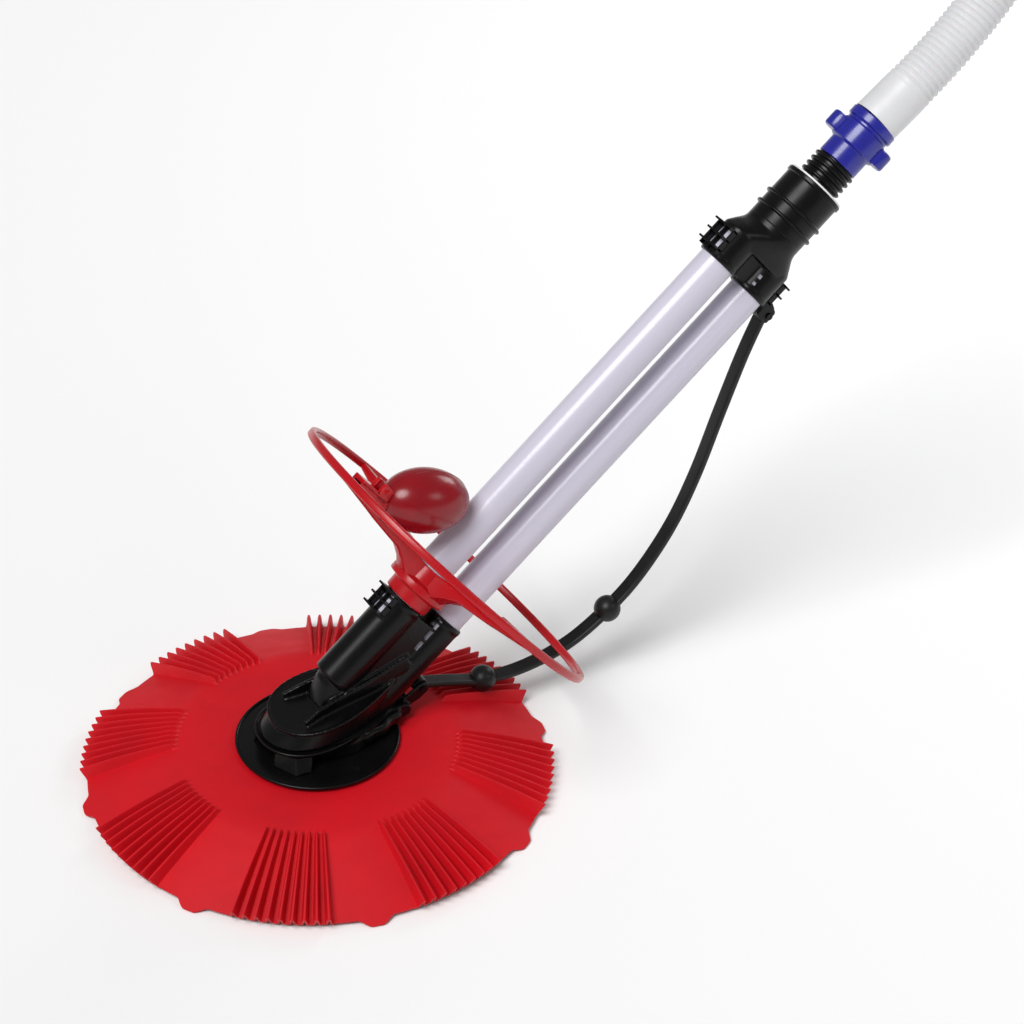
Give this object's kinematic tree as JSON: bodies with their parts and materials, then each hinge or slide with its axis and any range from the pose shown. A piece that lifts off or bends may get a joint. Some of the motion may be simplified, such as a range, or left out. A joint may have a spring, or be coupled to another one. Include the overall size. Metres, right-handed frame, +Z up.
{
  "type": "suction pool cleaner",
  "caption": "Automatic pool cleaner: finned suction disc on a swivelling foot, flapper head, twin tubes, bumper ring with float, bumper strap and hose swivel.",
  "frame": {"origin": "on the floor, at the centre of the foot and its disc", "axes": "+Z up along the foot's spin axis, +X horizontal, the way the tubes lean towards the hose, +Y to the left when looking along +X"},
  "size_m": [1.1205, 0.47, 0.903],
  "materials": {
    "black_plastic": "glossy injection-moulded black plastic, faint flow marks",
    "black_rubber": "moulded black rubber, satin",
    "red_vinyl": "soft flexible vinyl, satin with a slight gloss",
    "red_plastic": "glossy moulded red plastic",
    "grey_tube": "smooth extruded plastic tube, pale lilac grey",
    "white_plastic": "smooth white plastic",
    "blue_plastic": "glossy moulded deep blue plastic",
    "white_hose": "flexible white hose plastic, satin",
    "steel": "stainless steel",
    "ballast_iron": "rough cast ballast"
  },
  "bodies": {
    "head": {"foot_flange": "black_plastic", "flange_screws": "steel", "pad_clip": "white_plastic", "lower_casing": "black_plastic", "ballast_block": "ballast_iron", "upper_casing": "black_plastic", "casing_gasket": "black_rubber", "casing_screws": "steel", "flapper_pin": "steel", "valve_seat": "black_rubber", "upper_tube": "grey_tube", "lower_tube": "grey_tube", "head_tube_seals": "black_rubber", "adaptor_tube_seals": "black_rubber", "bumper_ring": "red_plastic", "float_near_half": "red_plastic", "float_far_half": "red_plastic", "float_saddle": "red_plastic", "float_pin": "red_plastic", "tube_adaptor": "black_plastic", "neck_ring": "white_plastic", "swivel_bush": "white_plastic", "swivel_washer": "white_plastic", "swivel_seal": "black_rubber", "bumper_strap": "black_rubber", "lower_strap_pin": "black_plastic", "upper_strap_pin": "black_plastic"},
    "foot": {"foot_pad": "black_rubber", "finned_disc": "red_vinyl", "disc_clamp_ring": "black_plastic", "clamp_screws": "steel", "wear_washer": "white_plastic"},
    "flapper": {"flapper": "black_rubber"},
    "swivel": {"ribbed_spigot": "black_plastic"},
    "cuff": {"winged_cuff": "blue_plastic", "cuff_seal": "black_rubber", "hose": "white_hose", "hose_coupler": "white_hose"}
  },
  "joints": [
    {"name": "foot_spin", "type": "hinge", "parent": "head", "child": "foot", "pos_m": [0, 0, 0], "axis": [0, 0, 1], "continuous": true},
    {"name": "flapper_swing", "type": "hinge", "parent": "head", "child": "flapper", "pos_m": [0.01379, 0, 0.06807], "axis": [0, 1, 0], "range_deg": [-40, 0]},
    {"name": "hose_swivel", "type": "hinge", "parent": "head", "child": "swivel", "pos_m": [0.54389, 0, 0.51288], "axis": [0.766, 0, 0.6428], "continuous": true},
    {"name": "cuff_pull", "type": "slide", "parent": "swivel", "child": "cuff", "axis": [0.766, 0, 0.6428], "range_m": [0, 0.03]}
  ]
}
